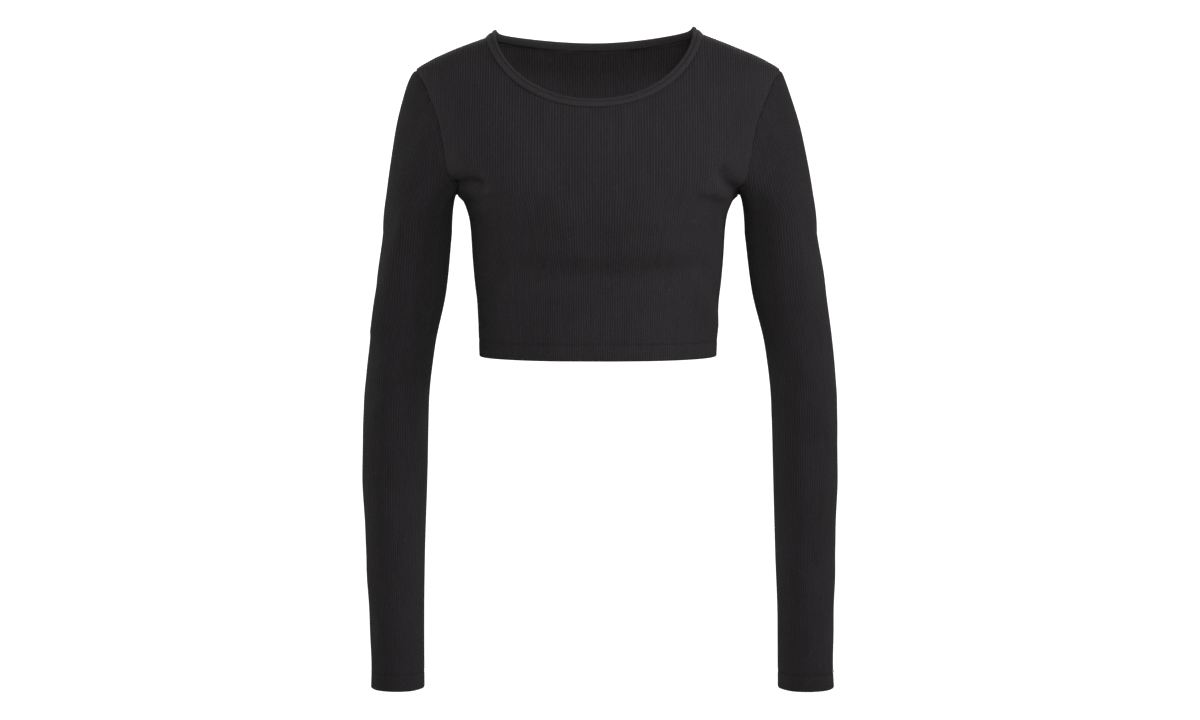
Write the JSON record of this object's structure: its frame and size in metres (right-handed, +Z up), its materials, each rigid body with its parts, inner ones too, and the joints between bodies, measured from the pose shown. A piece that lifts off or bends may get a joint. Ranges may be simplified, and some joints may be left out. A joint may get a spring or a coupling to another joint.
{
  "type": "crop top",
  "caption": "Cropped long-sleeved top in fine rib knit with a bound scoop neck, filled out as worn with neck, hem and cuffs open.",
  "frame": {"origin": "midway between the tops of the shoulders, where the wearer carries the garment", "axes": "+Z up along the body, -Y out of the front, +X towards the wearer's left"},
  "size_m": [0.4754, 0.2117, 0.6531],
  "materials": {
    "rib_knit": "matt black fine rib knit",
    "binding_knit": "matt black knit, folded into a narrow binding"
  },
  "bodies": {
    "root": {"front_panel": "rib_knit", "back_panel": "rib_knit", "left_sleeve": "rib_knit", "right_sleeve": "rib_knit", "neck_binding": "binding_knit"}
  },
  "joints": []
}
